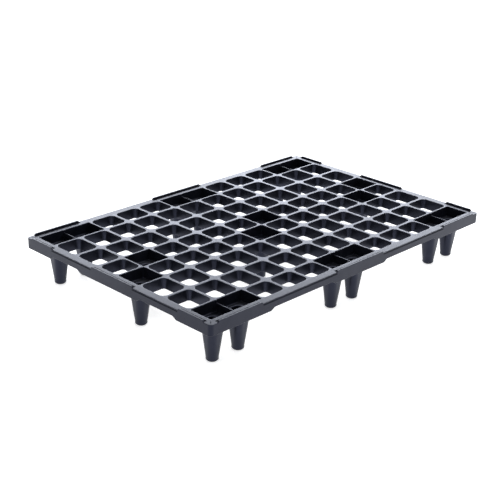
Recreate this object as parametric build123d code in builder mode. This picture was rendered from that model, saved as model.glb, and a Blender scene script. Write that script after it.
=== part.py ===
from build123d import *

import os

# Nestable open-deck transport pallet, 1200 x 800 mm, injection-moulded in black polyolefin.
#
# The real pallet is one moulding. It is modelled region by region: deck panels between the legs,
# rim rails and corners, raised edge lips and eighteen hollow tapered legs with their deck pockets.
# The regions meet face to face and never overlap.
#
# Frame: origin on the floor under the centre of the pallet, +X along the long side, +Z up.

# Overall size
LENGTH = 1200.0
WIDTH = 800.0
DECK_TOP = 148.0

# Deck grid: twelve columns along X, eight rows along Y counted from the +Y side
COLUMNS = 12
COLUMN_PITCH = 96.4
RIM_BAND_X = 26.3
RIM_BAND_Y = 26.5
ROW_RIBS = (295.5, 192.0, 88.5, 0.0, -88.5, -192.0, -295.5)
RIB_WIDTH = 10.5
WALL = 3.0
PLATE = 3.0
CELL_DEPTH = 33.0
CELL_CORNER = 17.0
CELL_DRAFT = 5.0

# Leg pockets: the legs of the outer rows stand side by side, those of the two middle rows on a diagonal
TWIN_ROWS = (0, 7)
TWIN_COLUMNS = ((0, 1), (5, 6), (10, 11))
UPPER_DIAGONAL_LEGS = ((1, 3), (6, 3), (11, 3))
LOWER_DIAGONAL_LEGS = ((0, 4), (5, 4), (10, 4))
POCKET_DEPTH = 33.0
LEDGE = 3.0
DIVIDER = 3.0
DIVIDER_DROP = 8.0

# Tapered hollow legs
LEG_TOP = 57.0
LEG_TOP_CORNER = 20.0
LEG_FOOT_RADIUS = 18.0
LEG_SKIN = 2.8
FOOT_BAND = 12.0
FOOT_CHAMFER = 4.5
FOOT_FLOOR = 3.0
BORE_EASING = 2.5
FOOT_FLAT = 0.05

# Rim, skirt and raised lips
SKIRT = 4.5
SKIRT_SHALLOW = 24.5
SKIRT_DEEP = 32.5
LONG_SIDE_DROPS = ((-600.0, -375.0), (-110.0, 110.0), (375.0, 600.0))
SHORT_SIDE_DROPS = ((-400.0, -282.0), (-141.0, 107.0), (268.0, 400.0))
DROP_RAMP = 14.0
CORNER_RADIUS = 12.0
LIP_HEIGHT = 5.0
LIP_WIDTH = 4.5
LIP_SLOPE = 4.0
LIP_EASING = 1.5
LIP_CORNER_GAP = 28.0
LONG_LIP_MIDDLE = 105.0
LONG_LIP_START = 407.0
SHORT_LIP_MIDDLE = 90.0
SHORT_LIP_START = 274.0
GROOVE_TOP = 2.8
GROOVE_HEIGHT = 3.2
GROOVE_DEPTH = 2.2

INNER_X = LENGTH / 2 - RIM_BAND_X
INNER_Y = WIDTH / 2 - RIM_BAND_Y
COLUMN_LINES = (
    [-INNER_X]
    + [(index - COLUMNS / 2) * COLUMN_PITCH for index in range(1, COLUMNS)]
    + [INNER_X]
)
ROW_LINES = [INNER_Y, *ROW_RIBS, -INNER_Y]
LAST_COLUMN = COLUMNS - 1
LAST_ROW = len(ROW_LINES) - 2
LEDGE_TOP = DECK_TOP - POCKET_DEPTH
LEDGE_UNDERSIDE = LEDGE_TOP - LEDGE

os.makedirs("parts", exist_ok=True)


def save(part, label):
    """Label a finished piece and write it as its own STEP file."""
    part.label = label
    export_step(part, f"parts/{label}.step")


def rectangle(bounds, grow=0.0, corner=0.0):
    """Add the rectangle x0, x1, y0, y1 to the open sketch, grown on all sides, with round corners."""
    x0, x1, y0, y1 = bounds
    with Locations(((x0 + x1) / 2, (y0 + y1) / 2)):
        if corner > 0:
            RectangleRounded(x1 - x0 + 2 * grow, y1 - y0 + 2 * grow, corner)
        else:
            Rectangle(x1 - x0 + 2 * grow, y1 - y0 + 2 * grow)


def cell_bounds(column, row):
    """The clear opening of an open deck cell at the deck surface."""
    half = RIB_WIDTH / 2
    x0 = COLUMN_LINES[column] + (half if column > 0 else 0.0)
    x1 = COLUMN_LINES[column + 1] - (half if column < LAST_COLUMN else 0.0)
    y1 = ROW_LINES[row] - (half if row > 0 else 0.0)
    y0 = ROW_LINES[row + 1] + (half if row < LAST_ROW else 0.0)
    return x0, x1, y0, y1


def region_bounds(columns, rows):
    """A block of cells out to the middle of its ribs, or to the back of the rim wall."""
    x0 = COLUMN_LINES[columns[0]] - (WALL if columns[0] == 0 else 0.0)
    x1 = COLUMN_LINES[columns[-1] + 1] + (WALL if columns[-1] == LAST_COLUMN else 0.0)
    y1 = ROW_LINES[rows[0]] + (WALL if rows[0] == 0 else 0.0)
    y0 = ROW_LINES[rows[-1] + 1] - (WALL if rows[-1] == LAST_ROW else 0.0)
    return x0, x1, y0, y1


def all_legs():
    """Every leg as (column, row)."""
    twins = [(column, row) for row in TWIN_ROWS for pair in TWIN_COLUMNS for column in pair]
    return [*twins, *UPPER_DIAGONAL_LEGS, *LOWER_DIAGONAL_LEGS]


def twin_side(column, row):
    """-1 or +1 where the pocket shares its divider with the next one, 0 where it stands alone."""
    if row not in TWIN_ROWS:
        return 0
    return 1 if column in [pair[0] for pair in TWIN_COLUMNS] else -1


def pocket_box(column, row):
    """Outline of a leg pocket with its walls, out to the divider, rim or next cell's wall."""
    grow = RIB_WIDTH / 2 - WALL
    side = twin_side(column, row)
    x0, x1, y0, y1 = region_bounds([column], [row])
    if column > 0 and side >= 0:
        x0 -= grow
    if column < LAST_COLUMN and side <= 0:
        x1 += grow
    if row > 0:
        y1 += grow
    if row < LAST_ROW:
        y0 -= grow
    return x0, x1, y0, y1


def pocket_opening(column, row):
    """Clear opening of a leg pocket: its box less the walls, or less half the divider of a twin."""
    side = twin_side(column, row)
    x0, x1, y0, y1 = pocket_box(column, row)
    x0 += DIVIDER / 2 if side < 0 else WALL
    x1 -= DIVIDER / 2 if side > 0 else WALL
    return x0, x1, y0 + WALL, y1 - WALL


def divider_half(column, row):
    """Outline of the half divider that a twin pocket keeps on its shared side."""
    x0, x1, y0, y1 = pocket_opening(column, row)
    if twin_side(column, row) > 0:
        return x1, x1 + DIVIDER / 2, y0, y1
    return x0 - DIVIDER / 2, x0, y0, y1


def leg_centre(column, row):
    """Axis of a leg, in the middle of its column and row."""
    x = (column - LAST_COLUMN / 2) * COLUMN_PITCH
    y = (ROW_LINES[row] + ROW_LINES[row + 1]) / 2
    return x, y


def deck_panel(label, columns, rows):
    """Open grid: a top plate on hollow ribs, with a drafted wall round every cell."""
    cells = [cell_bounds(column, row) for row in rows for column in columns]
    with BuildPart() as panel:
        with BuildSketch(Plane.XY.offset(DECK_TOP - PLATE)):
            rectangle(region_bounds(columns, rows))
        extrude(amount=PLATE)
        with BuildSketch(Plane.XY.offset(DECK_TOP)):
            for bounds in cells:
                rectangle(bounds, grow=WALL, corner=CELL_CORNER + WALL)
        extrude(amount=-CELL_DEPTH, taper=CELL_DRAFT)
        with BuildSketch(Plane.XY.offset(DECK_TOP)):
            for bounds in cells:
                rectangle(bounds, corner=CELL_CORNER)
        extrude(amount=-CELL_DEPTH, taper=CELL_DRAFT, mode=Mode.SUBTRACT)
        with BuildSketch(Plane.XY.offset(DECK_TOP)):
            for column, row in all_legs():
                rectangle(pocket_box(column, row))
        extrude(amount=-POCKET_DEPTH, mode=Mode.SUBTRACT)
    save(panel.part, label)


def tapered_leg(centre, skin, top, bottom):
    """Rounded square drawn down to a round foot, less a skin on all sides."""
    foot = LEG_FOOT_RADIUS - skin
    with BuildPart() as shank:
        with BuildSketch(Plane.XY.offset(top)):
            with Locations(centre):
                RectangleRounded(LEG_TOP - 2 * skin, LEG_TOP - 2 * skin, LEG_TOP_CORNER - skin)
        with BuildSketch(Plane.XY.offset(FOOT_BAND)):
            with Locations(centre):
                RectangleRounded(2 * foot, 2 * foot, foot - FOOT_FLAT)
        loft()
        with BuildSketch(Plane.XY.offset(bottom)):
            with Locations(centre):
                RectangleRounded(2 * foot, 2 * foot, foot - FOOT_FLAT)
        extrude(amount=FOOT_BAND - bottom)
        if skin == 0:
            chamfer(shank.faces().sort_by(Axis.Z)[0].edges(), length=FOOT_CHAMFER)
    return shank.part


def leg(label, column, row):
    """Deck pocket with a ledge, and the hollow leg that hangs from it."""
    centre = leg_centre(column, row)
    shank = tapered_leg(centre, 0.0, LEDGE_UNDERSIDE, 0.0)
    bore = tapered_leg(centre, LEG_SKIN, LEDGE_TOP, FOOT_FLOOR)
    with BuildPart() as piece:
        with BuildSketch(Plane.XY.offset(LEDGE_UNDERSIDE)):
            rectangle(pocket_box(column, row))
        extrude(amount=POCKET_DEPTH + LEDGE)
        with BuildSketch(Plane.XY.offset(LEDGE_TOP)):
            rectangle(pocket_opening(column, row))
        extrude(amount=POCKET_DEPTH, mode=Mode.SUBTRACT)
        add(shank)
        add(bore, mode=Mode.SUBTRACT)
        floor = piece.faces().filter_by(Axis.Z).group_by(Axis.Z)[-2].sort_by(SortBy.AREA)[-1]
        fillet(floor.inner_wires()[0].edges(), radius=BORE_EASING)
        if twin_side(column, row):
            with BuildSketch(Plane.XY.offset(DECK_TOP)):
                rectangle(divider_half(column, row))
            extrude(amount=-DIVIDER_DROP, mode=Mode.SUBTRACT)
        if (column, row) in LOWER_DIAGONAL_LEGS:
            with BuildSketch(Plane.XY.offset(LEDGE_UNDERSIDE)):
                rectangle(pocket_box(column + 1, row - 1))
            extrude(amount=POCKET_DEPTH + LEDGE, mode=Mode.SUBTRACT)
    save(piece.part, label)


def side_plane(quarter):
    """Outer face of one side: 0 front, 1 right, 2 back, 3 left. Local X runs along it, Y is up."""
    reach = WIDTH / 2 if quarter % 2 == 0 else LENGTH / 2
    outward = (Vector(0, -1, 0), Vector(1, 0, 0), Vector(0, 1, 0), Vector(-1, 0, 0))[quarter]
    along = (Vector(1, 0, 0), Vector(0, 1, 0), Vector(-1, 0, 0), Vector(0, -1, 0))[quarter]
    return Plane(origin=outward * reach, x_dir=along, z_dir=outward)


def skirt_outline(half, drops):
    """Points of a skirt wall seen from outside: straight top, deep drops joined by short ramps."""
    top = DECK_TOP
    shallow = DECK_TOP - SKIRT_SHALLOW
    deep = DECK_TOP - SKIRT_DEEP
    bottom = []
    for start, end in drops:
        if start > -half:
            bottom.append((start - DROP_RAMP, shallow))
        bottom.append((max(start, -half), deep))
        bottom.append((min(end, half), deep))
        if end < half:
            bottom.append((end + DROP_RAMP, shallow))
    return [(-half, top), *bottom, (half, top)]


def rail(label, quarter, half, drops, band, lip_middle, lip_start):
    """Rim band and skirt along one side, with a groove under the edge wherever there is no lip."""
    outer = side_plane(quarter)
    groove_centre = (lip_middle + lip_start) / 2
    with BuildPart() as piece:
        with BuildSketch(outer):
            with BuildLine():
                Polyline(skirt_outline(half, drops), close=True)
            make_face()
        extrude(amount=-SKIRT)
        with BuildSketch(outer):
            with Locations((0, DECK_TOP - PLATE / 2)):
                Rectangle(2 * half, PLATE)
        extrude(amount=-(band - WALL))
        with BuildSketch(outer):
            with Locations(*[(side * groove_centre, DECK_TOP - GROOVE_TOP) for side in (-1, 1)]):
                Rectangle(lip_start - lip_middle, GROOVE_HEIGHT, align=(Align.CENTER, Align.MAX))
        extrude(amount=-GROOVE_DEPTH, mode=Mode.SUBTRACT)
    save(piece.part, label)


def rim_corner(label, side_x, side_y):
    """Rounded corner of the rim, closing the gap between two rails down to the deep skirt."""
    outer = (side_x * LENGTH / 2, side_y * WIDTH / 2)
    inner = (side_x * (INNER_X + WALL), side_y * (INNER_Y + WALL))
    hollow = (outer[0] - side_x * SKIRT, outer[1] - side_y * SKIRT)
    floor = Plane.XY.offset(DECK_TOP - SKIRT_DEEP)
    with BuildPart() as piece:
        with BuildSketch(floor):
            rectangle((*sorted((inner[0], outer[0])), *sorted((inner[1], outer[1]))))
            fillet(vertices().sort_by_distance((*outer, 0))[0], radius=CORNER_RADIUS)
        extrude(amount=SKIRT_DEEP)
        with BuildSketch(floor):
            rectangle((*sorted((inner[0], hollow[0])), *sorted((inner[1], hollow[1]))))
            fillet(vertices().sort_by_distance((*hollow, 0))[0], radius=CORNER_RADIUS - SKIRT)
        extrude(amount=SKIRT_DEEP - PLATE, mode=Mode.SUBTRACT)
    save(piece.part, label)


def lip(label, quarter, start, end):
    """Raised strip on the outer edge that keeps a load from sliding off, sloped at both ends."""
    top = DECK_TOP + LIP_HEIGHT
    with BuildPart() as piece:
        with BuildSketch(side_plane(quarter)):
            with BuildLine():
                Polyline(
                    (start, DECK_TOP),
                    (start + LIP_SLOPE, top),
                    (end - LIP_SLOPE, top),
                    (end, DECK_TOP),
                    close=True,
                )
            make_face()
        extrude(amount=-LIP_WIDTH)
        long_top_edges = piece.faces().sort_by(Axis.Z)[-1].edges().sort_by(Edge.length)[-2:]
        fillet(long_top_edges, radius=LIP_EASING)
    save(piece.part, label)


PANELS = {
    "deck_panel_back_left": (range(2, 5), (0,)),
    "deck_panel_back_right": (range(7, 10), (0,)),
    "deck_field_back": (range(COLUMNS), (1, 2)),
    "deck_panel_upper_end": (range(0, 1), (3,)),
    "deck_panel_upper_left": (range(2, 6), (3,)),
    "deck_panel_upper_right": (range(7, 11), (3,)),
    "deck_panel_lower_left": (range(1, 5), (4,)),
    "deck_panel_lower_right": (range(6, 10), (4,)),
    "deck_panel_lower_end": (range(11, 12), (4,)),
    "deck_field_front": (range(COLUMNS), (5, 6)),
    "deck_panel_front_left": (range(2, 5), (7,)),
    "deck_panel_front_right": (range(7, 10), (7,)),
}
for name, (panel_columns, panel_rows) in PANELS.items():
    deck_panel(name, panel_columns, panel_rows)

ROW_NAMES = {0: "back", 3: "upper", 4: "lower", 7: "front"}
for leg_column, leg_row in all_legs():
    leg(f"leg_{ROW_NAMES[leg_row]}_{leg_column + 1}", leg_column, leg_row)

SIDES = ("front", "right", "back", "left")
for quarter, side_name in enumerate(SIDES):
    if quarter % 2 == 0:
        half, band, drops = INNER_X + WALL, RIM_BAND_Y, LONG_SIDE_DROPS
        middle, start, end = LONG_LIP_MIDDLE, LONG_LIP_START, LENGTH / 2 - LIP_CORNER_GAP
    else:
        half, band, drops = INNER_Y + WALL, RIM_BAND_X, SHORT_SIDE_DROPS
        middle, start, end = SHORT_LIP_MIDDLE, SHORT_LIP_START, WIDTH / 2 - LIP_CORNER_GAP
    rail(f"rim_rail_{side_name}", quarter, half, drops, band, middle, start)
    lip(f"edge_lip_{side_name}_1", quarter, -end, -start)
    lip(f"edge_lip_{side_name}_2", quarter, -middle, middle)
    lip(f"edge_lip_{side_name}_3", quarter, start, end)

for side_y, y_name in ((-1, "front"), (1, "back")):
    for side_x, x_name in ((-1, "left"), (1, "right")):
        rim_corner(f"rim_corner_{y_name}_{x_name}", side_x, side_y)
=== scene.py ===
"""Finished look of the nestable pallet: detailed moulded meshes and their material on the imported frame."""

import math

import bpy
from mathutils import Matrix, Vector


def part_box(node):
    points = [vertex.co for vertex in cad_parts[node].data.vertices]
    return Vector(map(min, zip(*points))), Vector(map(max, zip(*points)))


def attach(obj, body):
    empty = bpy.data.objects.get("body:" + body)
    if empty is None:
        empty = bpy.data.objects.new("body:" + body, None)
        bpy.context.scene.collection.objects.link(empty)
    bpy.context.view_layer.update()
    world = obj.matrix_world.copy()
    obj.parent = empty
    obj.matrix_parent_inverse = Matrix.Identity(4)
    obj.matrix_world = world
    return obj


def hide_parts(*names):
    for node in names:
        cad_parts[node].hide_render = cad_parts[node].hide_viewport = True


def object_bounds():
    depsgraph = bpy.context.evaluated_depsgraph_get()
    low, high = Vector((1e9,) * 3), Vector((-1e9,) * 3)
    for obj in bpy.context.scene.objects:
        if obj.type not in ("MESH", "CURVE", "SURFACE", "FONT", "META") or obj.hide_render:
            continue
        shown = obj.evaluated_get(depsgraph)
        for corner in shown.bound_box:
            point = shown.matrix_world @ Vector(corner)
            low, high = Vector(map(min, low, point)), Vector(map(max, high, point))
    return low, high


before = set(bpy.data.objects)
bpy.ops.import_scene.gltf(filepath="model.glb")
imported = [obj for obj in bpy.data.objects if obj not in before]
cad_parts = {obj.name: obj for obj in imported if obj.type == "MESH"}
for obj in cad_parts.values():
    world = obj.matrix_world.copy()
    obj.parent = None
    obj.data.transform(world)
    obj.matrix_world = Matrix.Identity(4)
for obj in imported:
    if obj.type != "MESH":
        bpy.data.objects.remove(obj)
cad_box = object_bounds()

MM = 0.001

# Driving dimensions of the pallet, in millimetres; the outer size comes from the frame itself
LENGTH = (cad_box[1].x - cad_box[0].x) / MM
WIDTH = (cad_box[1].y - cad_box[0].y) / MM
LIP_HEIGHT = 5.0
DECK_TOP = cad_box[1].z / MM - LIP_HEIGHT
COLUMNS = 12
COLUMN_PITCH = 96.4
RIM_BAND_X = 26.3
RIM_BAND_Y = 26.5
ROW_RIBS = (295.5, 192.0, 88.5, 0.0, -88.5, -192.0, -295.5)
RIB_WIDTH = 10.5
WALL = 3.0
PLATE = 3.0
NOTCH = RIB_WIDTH / 2 - WALL
CELL_DEPTH = 33.0
CELL_CORNER = 17.0
CELL_SLOPE = math.tan(math.radians(5.0))
POCKET_DEPTH = 33.0
LEDGE = 3.0
LEDGE_TOP = DECK_TOP - POCKET_DEPTH
LEDGE_UNDERSIDE = LEDGE_TOP - LEDGE
DIVIDER = 3.0
DIVIDER_DROP = 8.0
DIVIDER_CLEAR = 14.0
LEG_TOP = 28.5
LEG_TOP_CORNER = 20.0
LEG_FOOT = 18.0
LEG_FOOT_CORNER = 17.95
LEG_SKIN = 2.8
FOOT_BAND = 12.0
FOOT_CHAMFER = 4.5
FOOT_FLOOR = 3.0
SKIRT = 4.5
SKIRT_SHALLOW = 24.5
SKIRT_DEEP = 32.5
LONG_SIDE_DROPS = ((-600.0, -375.0), (-110.0, 110.0), (375.0, 600.0))
SHORT_SIDE_DROPS = ((-400.0, -282.0), (-141.0, 107.0), (268.0, 400.0))
DROP_RAMP = 14.0
CORNER_RADIUS = 12.0
LIP_WIDTH = 5.5
LIP_SLOPE = 4.0
LIP_EASING = 0.7
LIP_LOWEST = 0.05
LIP_CORNER_GAP = 28.0
LONG_LIP_MIDDLE = 105.0
LONG_LIP_START = 407.0
SHORT_LIP_MIDDLE = 90.0
SHORT_LIP_START = 274.0
GROOVE_TOP = 2.8
GROOVE_HEIGHT = 3.2
GROOVE_DEPTH = 2.2
GROOVE_SLANT = 0.7
CHANNEL_NEAR = 6.5
CHANNEL_FAR = 14.0
CHANNEL_DEPTH = 2.0
CHANNEL_SLANT = 0.4

# Small radii that only the finished meshes carry
RIB_EASING = 1.2
CELL_FOOT_EASING = 0.8
CELL_FOOT_CORNER = 7.0
RIM_EASING = 1.3
SKIRT_FOOT_EASING = 1.2
SKIRT_ROOT = 1.5
POCKET_EASING = 1.0
POCKET_CORNER = 2.5
SHARED_POCKET_CORNER = 8.0
POCKET_DRAFT = 0.4
POCKET_ROOT = 1.5
BORE_EASING = 2.5
BORE_FLOOR_EASING = 3.0
SHANK_ROOT = 3.0
FOOT_BREAK = 0.5
ARC_STEPS = 8
EDGE_STEPS = 3
SHARP_ANGLE = math.radians(38.0)

INNER_X = LENGTH / 2 - RIM_BAND_X
INNER_Y = WIDTH / 2 - RIM_BAND_Y
COLUMN_RIBS = [(i - COLUMNS / 2) * COLUMN_PITCH for i in range(1, COLUMNS)]
COLUMN_LINES = [-INNER_X, *COLUMN_RIBS, INNER_X]
ROW_LINES = [INNER_Y, *ROW_RIBS, -INNER_Y]
LAST_COLUMN = COLUMNS - 1
LAST_ROW = len(ROW_LINES) - 2
QUADRANTS = ((1, 1), (-1, 1), (-1, -1), (1, -1))

# Steps in column and row to the cells beside, in the order low x, high x, low y, high y
NEIGHBOURS = ((-1, 0), (1, 0), (0, 1), (0, -1))
LOW_LIMITS = (0, 2)


class Shell:
    """Points and faces of one moulded region in millimetres; equal points are shared."""

    def __init__(self):
        self.index = {}
        self.points = []
        self.faces = []

    def add(self, point):
        key = tuple(round(value, 3) + 0.0 for value in point)
        if key not in self.index:
            self.index[key] = len(self.points)
            self.points.append(key)
        return self.index[key]

    def face(self, corners):
        ids = list(dict.fromkeys(self.add(corner) for corner in corners))
        if len(ids) > 2:
            self.faces.append(ids)

    def band(self, first, second):
        """Quads between two closed loops that run the same way round."""
        for i in range(len(first)):
            j = (i + 1) % len(first)
            self.face((first[i], first[j], second[j], second[i]))

    def bands(self, loops):
        for first, second in zip(loops, loops[1:]):
            self.band(first, second)


def quarter_turn(steps=EDGE_STEPS):
    """Sine and cosine pairs of an even quarter turn."""
    angles = [math.pi / 2 * i / steps for i in range(steps + 1)]
    return [(math.sin(angle), math.cos(angle)) for angle in angles]


def eased(radius):
    """Convex edge from a flat top down to a wall, as (outward, down) from the wall and the top."""
    return [(radius * (1 - sine), radius * (1 - cosine)) for sine, cosine in quarter_turn()]


def hollowed(radius):
    """Concave edge from a wall down to a flat floor, as (outward, up) from the wall and the floor."""
    return [(-radius * (1 - cosine), radius * (1 - sine)) for sine, cosine in quarter_turn()]


def four(radius):
    """One radius for each corner."""
    return radius if isinstance(radius, tuple) else (radius,) * 4


def ring(bounds, radius, z, grow=0.0):
    """Rounded rectangle at height z, anticlockwise from above, offset outwards by grow."""
    loop = []
    for quarter, ((side_x, side_y), corner) in enumerate(zip(QUADRANTS, four(radius))):
        x = (bounds[1] if side_x > 0 else bounds[0]) - side_x * corner
        y = (bounds[3] if side_y > 0 else bounds[2]) - side_y * corner
        reach = max(corner + grow, 0.0)
        for step in range(ARC_STEPS + 1):
            angle = math.pi / 2 * (quarter + step / ARC_STEPS)
            loop.append((x + reach * math.cos(angle), y + reach * math.sin(angle), z))
    return loop


def border(opening, radius, lines, z, notch, limits=None, cut_corners=()):
    """Square outline round an opening, with one point for every point of the opening's ring."""
    half = ARC_STEPS // 2
    loop = []
    for quarter, ((side_x, side_y), corner) in enumerate(zip(QUADRANTS, four(radius))):
        corner_x = lines[1] if side_x > 0 else lines[0]
        corner_y = lines[3] if side_y > 0 else lines[2]
        from_x = (opening[1] if side_x > 0 else opening[0]) - side_x * corner
        from_y = (opening[3] if side_y > 0 else opening[2]) - side_y * corner
        to_x = corner_x - side_x * notch
        to_y = corner_y - side_y * notch
        shares = [step / (half - 1) for step in range(half)]
        upright = [(corner_x, from_y + (to_y - from_y) * share) for share in shares]
        level = [(from_x + (to_x - from_x) * share, corner_y) for share in shares]
        middle = (to_x, to_y) if quarter in cut_corners else (corner_x, corner_y)
        first, second = (upright, level) if quarter % 2 == 0 else (level, upright)
        loop += [*first, middle, *reversed(second)]
    low_x, high_x, low_y, high_y = limits or lines
    return [(min(max(x, low_x), high_x), min(max(y, low_y), high_y), z) for x, y in loop]


def cell_bounds(column, row):
    """The clear opening of an open deck cell at the deck surface."""
    half = RIB_WIDTH / 2
    x0 = COLUMN_LINES[column] + (half if column > 0 else 0.0)
    x1 = COLUMN_LINES[column + 1] - (half if column < LAST_COLUMN else 0.0)
    y1 = ROW_LINES[row] - (half if row > 0 else 0.0)
    y0 = ROW_LINES[row + 1] + (half if row < LAST_ROW else 0.0)
    return x0, x1, y0, y1


def cell_region(column, row):
    """A cell out to the middle of its ribs, or to the back of the rim wall."""
    x0 = COLUMN_LINES[column] - (WALL if column == 0 else 0.0)
    x1 = COLUMN_LINES[column + 1] + (WALL if column == LAST_COLUMN else 0.0)
    y1 = ROW_LINES[row] + (WALL if row == 0 else 0.0)
    y0 = ROW_LINES[row + 1] - (WALL if row == LAST_ROW else 0.0)
    return x0, x1, y0, y1


def grown(bounds, amount):
    """Bounds (low x, high x, low y, high y) moved outwards by amount."""
    return bounds[0] - amount, bounds[1] + amount, bounds[2] - amount, bounds[3] + amount


def cells_in(node):
    """The cells whose middle lies inside a node's box."""
    low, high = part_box(node)
    found = []
    for row in range(LAST_ROW + 1):
        for column in range(COLUMNS):
            x0, x1, y0, y1 = cell_region(column, row)
            x = (x0 + x1) / 2 * MM
            y = (y0 + y1) / 2 * MM
            if low.x < x < high.x and low.y < y < high.y:
                found.append((column, row))
    return found


def panel_tile(shell, column, row, pockets):
    """One open cell with its share of the ribs. Returns its outline on top and underneath."""
    opening = cell_bounds(column, row)
    lines = cell_region(column, row)
    limits = list(lines)
    for number, (step_x, step_y) in enumerate(NEIGHBOURS):
        if (column + step_x, row + step_y) in pockets:
            limits[number] += NOTCH if number in LOW_LIMITS else -NOTCH
    cut = []
    for quarter, (side_x, side_y) in enumerate(QUADRANTS):
        diagonal = (column + side_x, row - side_y) in pockets
        beside = (column + side_x, row) in pockets or (column, row - side_y) in pockets
        if diagonal and not beside:
            cut.append(quarter)
    floor = DECK_TOP - CELL_DEPTH
    foot = grown(opening, -(CELL_DEPTH - CELL_FOOT_EASING) * CELL_SLOPE)
    top = border(opening, CELL_CORNER, lines, DECK_TOP, NOTCH, limits, cut)
    loops = [top]
    loops += [ring(opening, CELL_CORNER, DECK_TOP - drop, grow) for grow, drop in eased(RIB_EASING)]
    for grow, rise in reversed(eased(CELL_FOOT_EASING)):
        loops.append(ring(foot, CELL_FOOT_CORNER, floor + rise, grow))
    for grow, rise in eased(CELL_FOOT_EASING):
        loops.append(ring(foot, CELL_FOOT_CORNER, floor + rise, WALL - grow))
    loops.append(ring(opening, CELL_CORNER, DECK_TOP - PLATE, WALL - PLATE * CELL_SLOPE))
    under = border(opening, CELL_CORNER, lines, DECK_TOP - PLATE, NOTCH, limits, cut)
    loops.append(under)
    shell.bands(loops)
    return top, under


def deck_panel(node, pockets):
    """Open grid: every cell's tile, closed along the outline of the whole panel."""
    shell = Shell()
    outline = {}
    for column, row in cells_in(node):
        top, under = panel_tile(shell, column, row, pockets)
        for i in range(len(top)):
            j = (i + 1) % len(top)
            first, second = shell.add(top[i]), shell.add(top[j])
            if first == second:
                continue
            if (second, first) in outline:
                del outline[(second, first)]
            else:
                outline[(first, second)] = (under[i], under[j], top[j], top[i])
    for corners in outline.values():
        shell.face(corners)
    return shell


def square(centre, half):
    return centre[0] - half, centre[0] + half, centre[1] - half, centre[1] + half


def between(low, high, z, bottom, top):
    """A measure that runs evenly from low at the bottom to high at the top."""
    return low + (high - low) * (z - bottom) / (top - bottom)


def lowered(loop, side, drop):
    """Drop the points of a twin pocket's outline that stand on the divider."""
    places = {1: (0, len(loop) - 1), -1: (2 * ARC_STEPS + 1, 2 * ARC_STEPS + 2)}.get(side, ())
    return [(x, y, z - drop) if i in places else (x, y, z) for i, (x, y, z) in enumerate(loop)]


def leg(node, pockets):
    """Deck pocket with its ledge, and the hollow tapered leg that hangs from it."""
    (column, row), = cells_in(node)
    lines = cell_region(column, row)
    centre = ((column - LAST_COLUMN / 2) * COLUMN_PITCH, (ROW_LINES[row] + ROW_LINES[row + 1]) / 2)
    side = ((column + 1, row) in pockets) - ((column - 1, row) in pockets)
    box = [
        lines[0] - (NOTCH if column > 0 and side >= 0 else 0.0),
        lines[1] + (NOTCH if column < LAST_COLUMN and side <= 0 else 0.0),
        lines[2] - (NOTCH if row < LAST_ROW else 0.0),
        lines[3] + (NOTCH if row > 0 else 0.0),
    ]
    opening = (
        box[0] + (DIVIDER / 2 if side < 0 else WALL),
        box[1] - (DIVIDER / 2 if side > 0 else WALL),
        box[2] + WALL,
        box[3] - WALL,
    )
    shared = (column + 1, row - 1) in pockets and not side
    radius = (SHARED_POCKET_CORNER, *(POCKET_CORNER,) * 3) if shared else POCKET_CORNER
    notch = 2 * NOTCH if shared else NOTCH
    cut = (0,) if shared else ()

    shell = Shell()
    foot = square(centre, LEG_FOOT)
    loops = [
        ring(foot, LEG_FOOT_CORNER, 0.0, -FOOT_CHAMFER - FOOT_BREAK),
        ring(foot, LEG_FOOT_CORNER, FOOT_BREAK, -FOOT_CHAMFER + FOOT_BREAK),
        ring(foot, LEG_FOOT_CORNER, FOOT_CHAMFER - FOOT_BREAK, -FOOT_BREAK),
        ring(foot, LEG_FOOT_CORNER, FOOT_CHAMFER + FOOT_BREAK),
        ring(foot, LEG_FOOT_CORNER, FOOT_BAND),
    ]
    shell.face(reversed(loops[0]))
    for sine, cosine in quarter_turn():
        z = LEDGE_UNDERSIDE - SHANK_ROOT * (1 - sine)
        half = between(LEG_FOOT, LEG_TOP, z, FOOT_BAND, LEDGE_UNDERSIDE)
        corner = between(LEG_FOOT_CORNER, LEG_TOP_CORNER, z, FOOT_BAND, LEDGE_UNDERSIDE)
        loops.append(ring(square(centre, half), corner, z, SHANK_ROOT * (1 - cosine)))
    loops.append(border(opening, radius, box, LEDGE_UNDERSIDE, notch, None, cut))
    top = border(opening, radius, box, DECK_TOP, notch, None, cut)
    loops.append(lowered(top, side, DIVIDER_DROP))
    for grow, drop in eased(POCKET_EASING):
        rim = ring(opening, radius, DECK_TOP - drop, grow)
        loops.append(lowered(rim, side, DIVIDER_DROP))
    loops.append(ring(opening, radius, DECK_TOP - DIVIDER_CLEAR, -POCKET_DRAFT / 2))
    for grow, rise in hollowed(POCKET_ROOT):
        loops.append(ring(opening, radius, LEDGE_TOP + rise, grow - POCKET_DRAFT))
    bore_foot = LEG_FOOT - LEG_SKIN
    bore_foot_corner = LEG_FOOT_CORNER - LEG_SKIN
    for grow, drop in eased(BORE_EASING):
        bounds = square(centre, LEG_TOP - LEG_SKIN)
        loops.append(ring(bounds, LEG_TOP_CORNER - LEG_SKIN, LEDGE_TOP - drop, grow))
    loops.append(ring(square(centre, bore_foot), bore_foot_corner, FOOT_BAND))
    for grow, rise in hollowed(BORE_FLOOR_EASING):
        loops.append(ring(square(centre, bore_foot), bore_foot_corner, FOOT_FLOOR + rise, grow))
    shell.bands(loops)
    shell.face(loops[-1])
    return shell


def place(quarter, u, v, z):
    """Side-local point to the frame: u along the side, v inwards from the outer face."""
    x, y = u, v - (WIDTH if quarter % 2 == 0 else LENGTH) / 2
    for _ in range(quarter):
        x, y = -y, x
    return x, y, z


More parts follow.
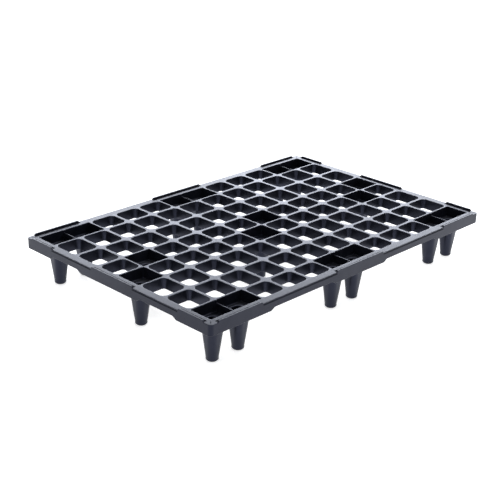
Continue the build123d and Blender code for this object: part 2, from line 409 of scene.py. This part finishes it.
def rim_section(depth, easing, groove, channel, foot):
    """Rim plate and skirt in cross-section, as (inward, height), from the inner top edge round."""
    points = [
        (depth, DECK_TOP),
        (CHANNEL_FAR, DECK_TOP),
        (CHANNEL_FAR - CHANNEL_SLANT, DECK_TOP - channel),
        (CHANNEL_NEAR + CHANNEL_SLANT, DECK_TOP - channel),
        (CHANNEL_NEAR, DECK_TOP),
    ]
    points += [(grow, DECK_TOP - drop) for grow, drop in eased(easing)]
    top = DECK_TOP - GROOVE_TOP
    bottom = top - GROOVE_HEIGHT
    points += [(0.0, top), (groove, top - GROOVE_SLANT)]
    points += [(groove, bottom + GROOVE_SLANT), (0.0, bottom)]
    points += [(grow, foot + rise) for rise, grow in eased(SKIRT_FOOT_EASING)]
    points += [(SKIRT - grow, foot + rise) for grow, rise in eased(SKIRT_FOOT_EASING)]
    points += [(SKIRT, DECK_TOP - PLATE - SKIRT_ROOT), (SKIRT + SKIRT_ROOT, DECK_TOP - PLATE)]
    points.append((depth, DECK_TOP - PLATE))
    return points


def side_facts(quarter):
    """Half length, plate depth, skirt drops and the lips of one side."""
    if quarter % 2 == 0:
        reach, depth, next_depth = LENGTH / 2, RIM_BAND_Y - WALL, RIM_BAND_X - WALL
        drops, middle, start = LONG_SIDE_DROPS, LONG_LIP_MIDDLE, LONG_LIP_START
    else:
        reach, depth, next_depth = WIDTH / 2, RIM_BAND_X - WALL, RIM_BAND_Y - WALL
        drops, middle, start = SHORT_SIDE_DROPS, SHORT_LIP_MIDDLE, SHORT_LIP_START
    end = reach - LIP_CORNER_GAP
    lips = ((-end, -start), (-middle, middle), (start, end))
    return reach, depth, next_depth, drops, lips


def rail(quarter):
    """Rim band and skirt along one side, with a groove under the edge wherever there is no lip."""
    reach, depth, next_depth, drops, lips = side_facts(quarter)
    half = reach - next_depth
    shallow, deep = DECK_TOP - SKIRT_SHALLOW, DECK_TOP - SKIRT_DEEP
    foot_line = []
    for start, end in drops:
        foot_line += [(start - DROP_RAMP, shallow), (start, deep)]
        foot_line += [(end, deep), (end + DROP_RAMP, shallow)]
    grooves = [(first[1], second[0]) for first, second in zip(lips, lips[1:])]
    stations = {-half, half, *(u for u, _ in foot_line)}
    for start, end in lips:
        stations |= {start - RIM_EASING, start, start + CHANNEL_SLANT}
        stations |= {end - CHANNEL_SLANT, end, end + RIM_EASING}
    for start, end in grooves:
        stations |= {start + GROOVE_SLANT, end - GROOVE_SLANT}
    sections = []
    for u in sorted(stations):
        if abs(u) > half:
            continue
        easing = 0.0 if any(start <= u <= end for start, end in lips) else RIM_EASING
        groove = GROOVE_DEPTH if any(start < u < end for start, end in grooves) else 0.0
        channel = CHANNEL_DEPTH if any(start < u < end for start, end in lips) else 0.0
        before = [point for point in foot_line if point[0] <= u][-1]
        after = [point for point in foot_line if point[0] >= u][0]
        span = after[0] - before[0]
        foot = before[1] + (after[1] - before[1]) * ((u - before[0]) / span if span else 0.0)
        profile = rim_section(depth, easing, groove, channel, foot)
        sections.append([place(quarter, u, v, z) for v, z in profile])
    return capped(sections)


def capped(sections):
    """Closed region from cross-sections in order along it."""
    shell = Shell()
    shell.face(reversed(sections[0]))
    shell.bands(sections)
    shell.face(sections[-1])
    return shell


def corner(quarter):
    """Rounded rim corner between the end of one side and the start of the next."""
    reach, depth, next_depth, _, _ = side_facts(quarter)
    profile = rim_section(depth, RIM_EASING, 0.0, 0.0, DECK_TOP - SKIRT_DEEP)
    sections = []
    for station in range(-1, ARC_STEPS + 2):
        angle = math.pi / 2 * min(max(station, 0), ARC_STEPS) / ARC_STEPS
        points = []
        for number, (v, z) in enumerate(profile):
            u = reach - CORNER_RADIUS + (CORNER_RADIUS - v) * math.sin(angle)
            w = CORNER_RADIUS - (CORNER_RADIUS - v) * math.cos(angle)
            if station < 0:
                u = reach - next_depth
            if station > ARC_STEPS:
                w = depth
            if number in (0, len(profile) - 1):
                u, w = reach - next_depth, depth
            points.append(place(quarter, u, w, z))
        sections.append(points)
    return capped(sections)


def lip(quarter, number):
    """Raised strip on the outer edge, rising at both ends and rounded along its top."""
    start, end = side_facts(quarter)[4][number]
    slope = []
    for step in range(EDGE_STEPS + 1):
        slope.append((LIP_SLOPE * step / EDGE_STEPS, math.sin(math.pi / 2 * step / EDGE_STEPS)))
    stations = [(start + along, rise) for along, rise in slope]
    stations += [(end - along, rise) for along, rise in reversed(slope)]
    sections = []
    for u, rise in stations:
        height = LIP_HEIGHT * max(rise, LIP_LOWEST)
        radius = min(LIP_EASING, height / 2)
        top = DECK_TOP + height
        points = [(LIP_WIDTH, DECK_TOP)]
        points += [(LIP_WIDTH - grow, top - drop) for grow, drop in reversed(eased(radius))]
        points += [(grow, top - drop) for grow, drop in eased(radius)]
        points.append((0.0, DECK_TOP))
        sections.append([place(quarter, u, v, z) for v, z in points])
    return capped(sections)


# Places of the colour sockets on a mix node; its sockets share their names between data types
MIX_COLOUR_A = 6
MIX_COLOUR_B = 7
MIX_COLOUR_RESULT = 2


class Graph:
    """Short names for building a node material."""

    def __init__(self, name):
        self.material = bpy.data.materials.new(name)
        self.material.use_nodes = True
        self.nodes = self.material.node_tree.nodes
        self.shader = self.nodes["Principled BSDF"]
        self.place = self.nodes.new("ShaderNodeTexCoord").outputs["Object"]

    def link(self, source, target):
        self.material.node_tree.links.new(source, target)

    def feed(self, node, socket, value):
        if isinstance(value, bpy.types.NodeSocket):
            self.link(value, node.inputs[socket])
        else:
            node.inputs[socket].default_value = value

    def noise(self, scale, detail=3.0, roughness=0.55, stretch=None, distortion=0.0):
        node = self.nodes.new("ShaderNodeTexNoise")
        source = self.place
        if stretch:
            mapping = self.nodes.new("ShaderNodeMapping")
            mapping.inputs["Scale"].default_value = stretch
            self.link(source, mapping.inputs["Vector"])
            source = mapping.outputs["Vector"]
        self.link(source, node.inputs["Vector"])
        node.inputs["Scale"].default_value = scale
        node.inputs["Detail"].default_value = detail
        node.inputs["Roughness"].default_value = roughness
        node.inputs["Distortion"].default_value = distortion
        return node.outputs["Fac"]

    def ramp(self, value, from_low, from_high, to_low=0.0, to_high=1.0):
        node = self.nodes.new("ShaderNodeMapRange")
        node.interpolation_type = "SMOOTHSTEP"
        for socket, entry in zip(
            ("Value", "From Min", "From Max", "To Min", "To Max"),
            (value, from_low, from_high, to_low, to_high),
        ):
            self.feed(node, socket, entry)
        return node.outputs["Result"]

    def math(self, kind, first, second, limit=False):
        node = self.nodes.new("ShaderNodeMath")
        node.operation = kind
        node.use_clamp = limit
        self.feed(node, 0, first)
        self.feed(node, 1, second)
        return node.outputs[0]

    def mix(self, share, first, second):
        node = self.nodes.new("ShaderNodeMix")
        node.data_type = "RGBA"
        self.feed(node, "Factor", share)
        self.feed(node, MIX_COLOUR_A, first)
        self.feed(node, MIX_COLOUR_B, second)
        return node.outputs[MIX_COLOUR_RESULT]

    def bump(self, height, strength, distance, below=None):
        node = self.nodes.new("ShaderNodeBump")
        node.inputs["Strength"].default_value = strength
        node.inputs["Distance"].default_value = distance
        self.link(height, node.inputs["Height"])
        if below:
            self.link(below, node.inputs["Normal"])
        return node.outputs["Normal"]


# Moulded black polyolefin
PLASTIC_DARK = (0.0030, 0.0033, 0.0052, 1.0)
PLASTIC_PALE = (0.0070, 0.0076, 0.0112, 1.0)
# Bluish tint on every reflection of the plastic: painted colour of the bluish studio light
BLUE_LIGHT_GLOSS_TINT = (0.60, 0.66, 1.0, 1.0)
SCUFF_COLOUR = (0.060, 0.063, 0.072, 1.0)
DUST_COLOUR = (0.10, 0.10, 0.105, 1.0)
PLASTIC_IOR = 1.51
DECK_GLOSS = 0.42
# Lower gloss for the rim: painted shade, so the rim reflects less light than the deck, though both are the
# same plastic
RIM_SHADED_GLOSS = 0.30
ROUGHNESS_LOW = 0.27
ROUGHNESS_HIGH = 0.35
GRAIN_ROUGHNESS = 0.05
SCUFF_ROUGHNESS = 0.12
EDGE_WEAR = 0.35
DUST_SHARE = 0.16


def moulded_plastic(name, gloss):
    """Black plastic with flow marks, grain, worn edges, fine scratches and a little dust."""
    graph = Graph(name)
    normal = graph.nodes.new("ShaderNodeNewGeometry").outputs["Normal"]
    split = graph.nodes.new("ShaderNodeSeparateXYZ")
    graph.link(normal, split.inputs["Vector"])
    upward = split.outputs["Z"]

    clouds = graph.noise(scale=5.0, detail=4.0, roughness=0.6, distortion=0.6)
    flow = graph.noise(
        scale=14.0, detail=5.0, roughness=0.6, stretch=(1.0, 0.35, 1.0), distortion=1.6
    )
    grain = graph.noise(scale=900.0, detail=2.0, roughness=0.5)
    orange_peel = graph.noise(scale=150.0, detail=2.0, roughness=0.5)
    scratches_x = graph.noise(scale=60.0, detail=3.0, roughness=0.7, stretch=(0.06, 1.0, 1.0))
    scratches_y = graph.noise(scale=70.0, detail=3.0, roughness=0.7, stretch=(1.0, 0.05, 1.0))
    patches = graph.noise(scale=9.0, detail=3.0, roughness=0.5)

    lines_x = graph.ramp(scratches_x, 0.66, 0.72)
    lines_y = graph.ramp(scratches_y, 0.67, 0.73)
    lines = graph.math("MAXIMUM", lines_x, lines_y)
    facing_up = graph.ramp(upward, 0.6, 0.95)
    worn_top = graph.math("MULTIPLY", facing_up, graph.ramp(patches, 0.45, 0.7))
    scratches = graph.math("MULTIPLY", lines, worn_top)
    edge_low = graph.ramp(upward, 0.15, 0.35)
    edge_high = graph.ramp(upward, 0.75, 0.95, 1.0, 0.0)
    edge_band = graph.math("MULTIPLY", edge_low, edge_high)
    edge = graph.math("MULTIPLY", edge_band, graph.ramp(flow, 0.42, 0.68))
    edge_wear = graph.math("MULTIPLY", edge, EDGE_WEAR)
    scuffs = graph.math("MAXIMUM", scratches, edge_wear, limit=True)
    dust = graph.math("MULTIPLY", facing_up, graph.ramp(clouds, 0.4, 0.75, 0.0, DUST_SHARE))

    colour = graph.mix(graph.ramp(flow, 0.3, 0.7), PLASTIC_DARK, PLASTIC_PALE)
    colour = graph.mix(scuffs, colour, SCUFF_COLOUR)
    colour = graph.mix(dust, colour, DUST_COLOUR)
    graph.link(colour, graph.shader.inputs["Base Color"])

    roughness = graph.ramp(clouds, 0.3, 0.7, ROUGHNESS_LOW, ROUGHNESS_HIGH)
    rough_grain = graph.math("MULTIPLY", grain, GRAIN_ROUGHNESS)
    roughness = graph.math("ADD", roughness, rough_grain)
    rough_scuffs = graph.math("MULTIPLY", scuffs, SCUFF_ROUGHNESS)
    roughness = graph.math("ADD", roughness, rough_scuffs, limit=True)
    graph.link(roughness, graph.shader.inputs["Roughness"])

    sink = graph.bump(flow, strength=0.10, distance=0.0010)
    peel = graph.bump(orange_peel, strength=0.10, distance=0.00025, below=sink)
    fine = graph.bump(grain, strength=0.16, distance=0.00010, below=peel)
    worn = graph.bump(scuffs, strength=0.20, distance=0.00020, below=fine)
    graph.link(worn, graph.shader.inputs["Normal"])
    graph.shader.inputs["IOR"].default_value = PLASTIC_IOR
    graph.shader.inputs["Specular IOR Level"].default_value = gloss
    # Painted light colour: reflections are tinted bluish like the studio light
    graph.shader.inputs["Specular Tint"].default_value = BLUE_LIGHT_GLOSS_TINT
    return graph.material


FLOOR_COLOUR = (0.90, 0.90, 0.90, 1.0)
FLOOR_PALE = (0.93, 0.93, 0.93, 1.0)
FLOOR_GLOW = 0.7
FLOOR_GLOSS = 0.1
FLOOR_ROUGHNESS_LOW = 0.85
FLOOR_ROUGHNESS_HIGH = 0.95


def pale_floor():
    """Matt white studio floor that glows a little, so that it stays white under the deck."""
    graph = Graph("pale_studio_floor")
    speckle = graph.noise(scale=40.0, detail=3.0, roughness=0.5)
    graph.link(graph.mix(speckle, FLOOR_COLOUR, FLOOR_PALE), graph.shader.inputs["Base Color"])
    roughness = graph.ramp(speckle, 0.3, 0.7, FLOOR_ROUGHNESS_LOW, FLOOR_ROUGHNESS_HIGH)
    graph.link(roughness, graph.shader.inputs["Roughness"])
    relief = graph.bump(speckle, strength=0.05, distance=0.0002)
    graph.link(relief, graph.shader.inputs["Normal"])
    graph.shader.inputs["Specular IOR Level"].default_value = FLOOR_GLOSS
    graph.shader.inputs["Emission Color"].default_value = FLOOR_PALE
    graph.shader.inputs["Emission Strength"].default_value = FLOOR_GLOW
    return graph.material


DECK_PLASTIC = moulded_plastic("moulded_black_polyolefin", DECK_GLOSS)
# Shaded copy of the same plastic for the rails, corners and lips: painted shade through lower gloss
RIM_SHADED_PLASTIC = moulded_plastic("moulded_black_polyolefin_rim_shaded", RIM_SHADED_GLOSS)


def finish_piece(node, shell, plastic=DECK_PLASTIC):
    """Turn a region's points and faces into the piece that is shown in place of its CAD node."""
    name = node + "_finished"
    mesh = bpy.data.meshes.new(name)
    points = [[value * MM for value in point] for point in shell.points]
    mesh.from_pydata(points, [], shell.faces)
    mesh.polygons.foreach_set("use_smooth", [True] * len(mesh.polygons))
    mesh.set_sharp_from_angle(angle=SHARP_ANGLE)
    mesh.materials.append(plastic)
    piece = bpy.data.objects.new(name, mesh)
    bpy.context.scene.collection.objects.link(piece)
    shading = piece.modifiers.new("even_shading", "WEIGHTED_NORMAL")
    shading.keep_sharp = True
    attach(piece, "root")
    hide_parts(node)


leg_nodes = [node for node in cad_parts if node.startswith("leg_")]
panel_nodes = [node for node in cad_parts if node.startswith("deck_")]
pocket_cells = {cell for node in leg_nodes for cell in cells_in(node)}
for node in panel_nodes:
    finish_piece(node, deck_panel(node, pocket_cells))
for node in leg_nodes:
    finish_piece(node, leg(node, pocket_cells))
LIPS_ON_A_SIDE = 3
SIDES = ("front", "right", "back", "left")
CORNERS = ("front_right", "back_right", "back_left", "front_left")
for quarter, (side_name, corner_name) in enumerate(zip(SIDES, CORNERS)):
    finish_piece("rim_rail_" + side_name, rail(quarter), RIM_SHADED_PLASTIC)
    finish_piece("rim_corner_" + corner_name, corner(quarter), RIM_SHADED_PLASTIC)
    for number in range(LIPS_ON_A_SIDE):
        finish_piece(f"edge_lip_{side_name}_{number + 1}", lip(quarter, number), RIM_SHADED_PLASTIC)

# Studio: pale floor, bright surroundings, a wide softbox behind the pallet, one overhead and a
# soft key in front
FLOOR_SIZE = 40.0
floor_mesh = bpy.data.meshes.new("studio_floor")
edge = FLOOR_SIZE / 2
floor_corners = [(-edge, -edge, 0), (edge, -edge, 0), (edge, edge, 0), (-edge, edge, 0)]
floor_mesh.from_pydata(floor_corners, [], [(0, 1, 2, 3)])
floor_mesh.materials.append(pale_floor())
floor = bpy.data.objects.new("studio_floor", floor_mesh)
bpy.context.scene.collection.objects.link(floor)

WORLD_COLOUR = (0.97, 0.985, 1.0, 1.0)
WORLD_STRENGTH = 0.65
world = bpy.data.worlds.new("studio_world")
world.use_nodes = True
world.node_tree.nodes["Background"].inputs["Color"].default_value = WORLD_COLOUR
world.node_tree.nodes["Background"].inputs["Strength"].default_value = WORLD_STRENGTH
bpy.context.scene.world = world

AIM = Vector((0.0, 0.0, 0.1))
WHITE = (1.0, 1.0, 1.0)
BACK_COLOUR = (0.88, 0.92, 1.0)


def softbox(name, azimuth, elevation, distance, size, power, colour):
    """Rectangular light that faces the pallet; azimuth is measured from +Y towards +X."""
    light = bpy.data.lights.new(name, "AREA")
    light.shape = "RECTANGLE"
    light.size, light.size_y = size
    light.energy = power
    light.color = colour
    turn, rise = math.radians(azimuth), math.radians(elevation)
    level = math.cos(rise)
    away = Vector((math.sin(turn) * level, math.cos(turn) * level, math.sin(rise)))
    facing = away.to_track_quat("Z", "Y").to_matrix().to_4x4()
    lamp = bpy.data.objects.new(name, light)
    lamp.matrix_world = Matrix.Translation(AIM + away * distance) @ facing
    bpy.context.scene.collection.objects.link(lamp)


# Name, azimuth and elevation in degrees, distance and size in metres, power in watts, colour
softbox("back_softbox", 46.0, 15.0, 4.5, (6.0, 1.6), 195.0, BACK_COLOUR)
softbox("overhead", 46.0, 68.0, 3.0, (2.6, 1.0), 45.0, WHITE)
softbox("front_key", 135.0, 55.0, 3.5, (2.0, 2.0), 30.0, WHITE)

# Camera at the height and side that shows the front and the left rim together
CAMERA_AZIMUTH = math.radians(46.02)
CAMERA_ELEVATION = math.radians(22.86)
CAMERA_ROLL = math.radians(1.485)
CAMERA_TARGET = Vector((-0.1725, -0.1189, 0.1480))
CAMERA_DISTANCE = 3.2691
CAMERA_LENS = 79.82
SENSOR = 36.0
CLIP_END = 100.0
forward = Vector((
    math.sin(CAMERA_AZIMUTH) * math.cos(CAMERA_ELEVATION),
    math.cos(CAMERA_AZIMUTH) * math.cos(CAMERA_ELEVATION),
    -math.sin(CAMERA_ELEVATION),
))
level_right = Vector((math.cos(CAMERA_AZIMUTH), -math.sin(CAMERA_AZIMUTH), 0.0))
level_up = level_right.cross(forward)
right = math.cos(CAMERA_ROLL) * level_right + math.sin(CAMERA_ROLL) * level_up
up = math.cos(CAMERA_ROLL) * level_up - math.sin(CAMERA_ROLL) * level_right
lens = bpy.data.cameras.new("studio_camera")
lens.lens = CAMERA_LENS
lens.sensor_width = SENSOR
lens.clip_end = CLIP_END
lens.dof.use_dof = False
camera = bpy.data.objects.new("studio_camera", lens)
turned = Matrix((right, up, -forward)).transposed().to_4x4()
camera.matrix_world = Matrix.Translation(CAMERA_TARGET - forward * CAMERA_DISTANCE) @ turned
bpy.context.scene.collection.objects.link(camera)
bpy.context.scene.camera = camera
bpy.context.scene.view_settings.view_transform = "Standard"
